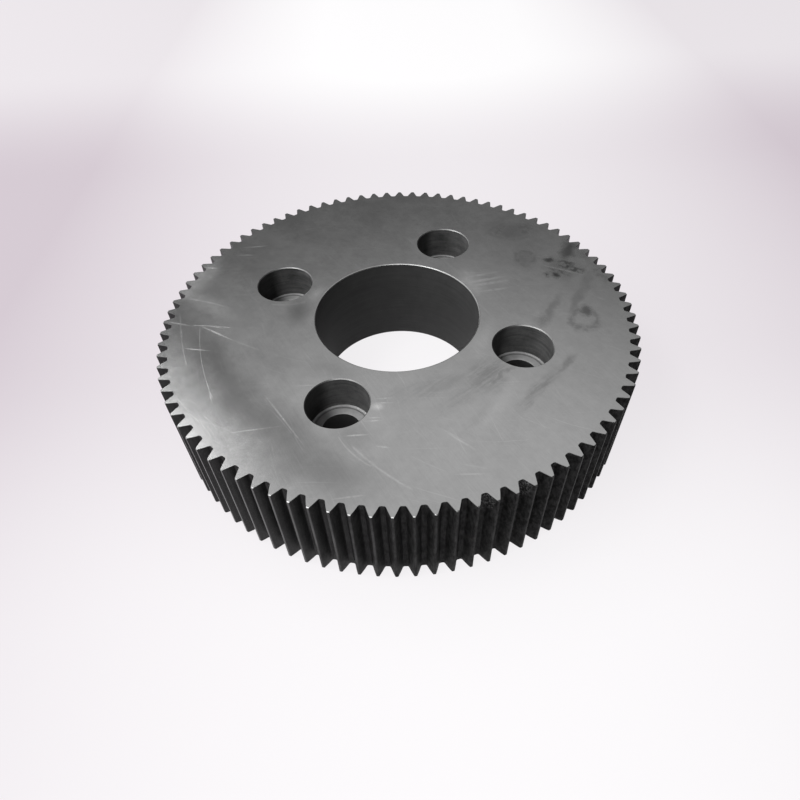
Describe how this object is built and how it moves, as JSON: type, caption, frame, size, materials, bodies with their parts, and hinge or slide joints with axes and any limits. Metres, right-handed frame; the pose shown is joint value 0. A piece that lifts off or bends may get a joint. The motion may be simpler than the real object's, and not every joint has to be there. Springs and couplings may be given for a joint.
{
  "type": "spur gear",
  "caption": "Straight-toothed steel spur gear: a thick disc with a plain central bore and counterbored screw holes for bolting it to a hub.",
  "frame": {"origin": "centre of the lower end face, on the bore's axis", "axes": "+Z along the bore's axis towards the counterbored face, +X through one screw hole"},
  "size_m": [0.23, 0.23, 0.048],
  "materials": {
    "steel": "ground grey steel faces with handling scratches, dark oiled tooth flanks"
  },
  "bodies": {
    "root": {"spur_gear": "steel"}
  },
  "joints": []
}
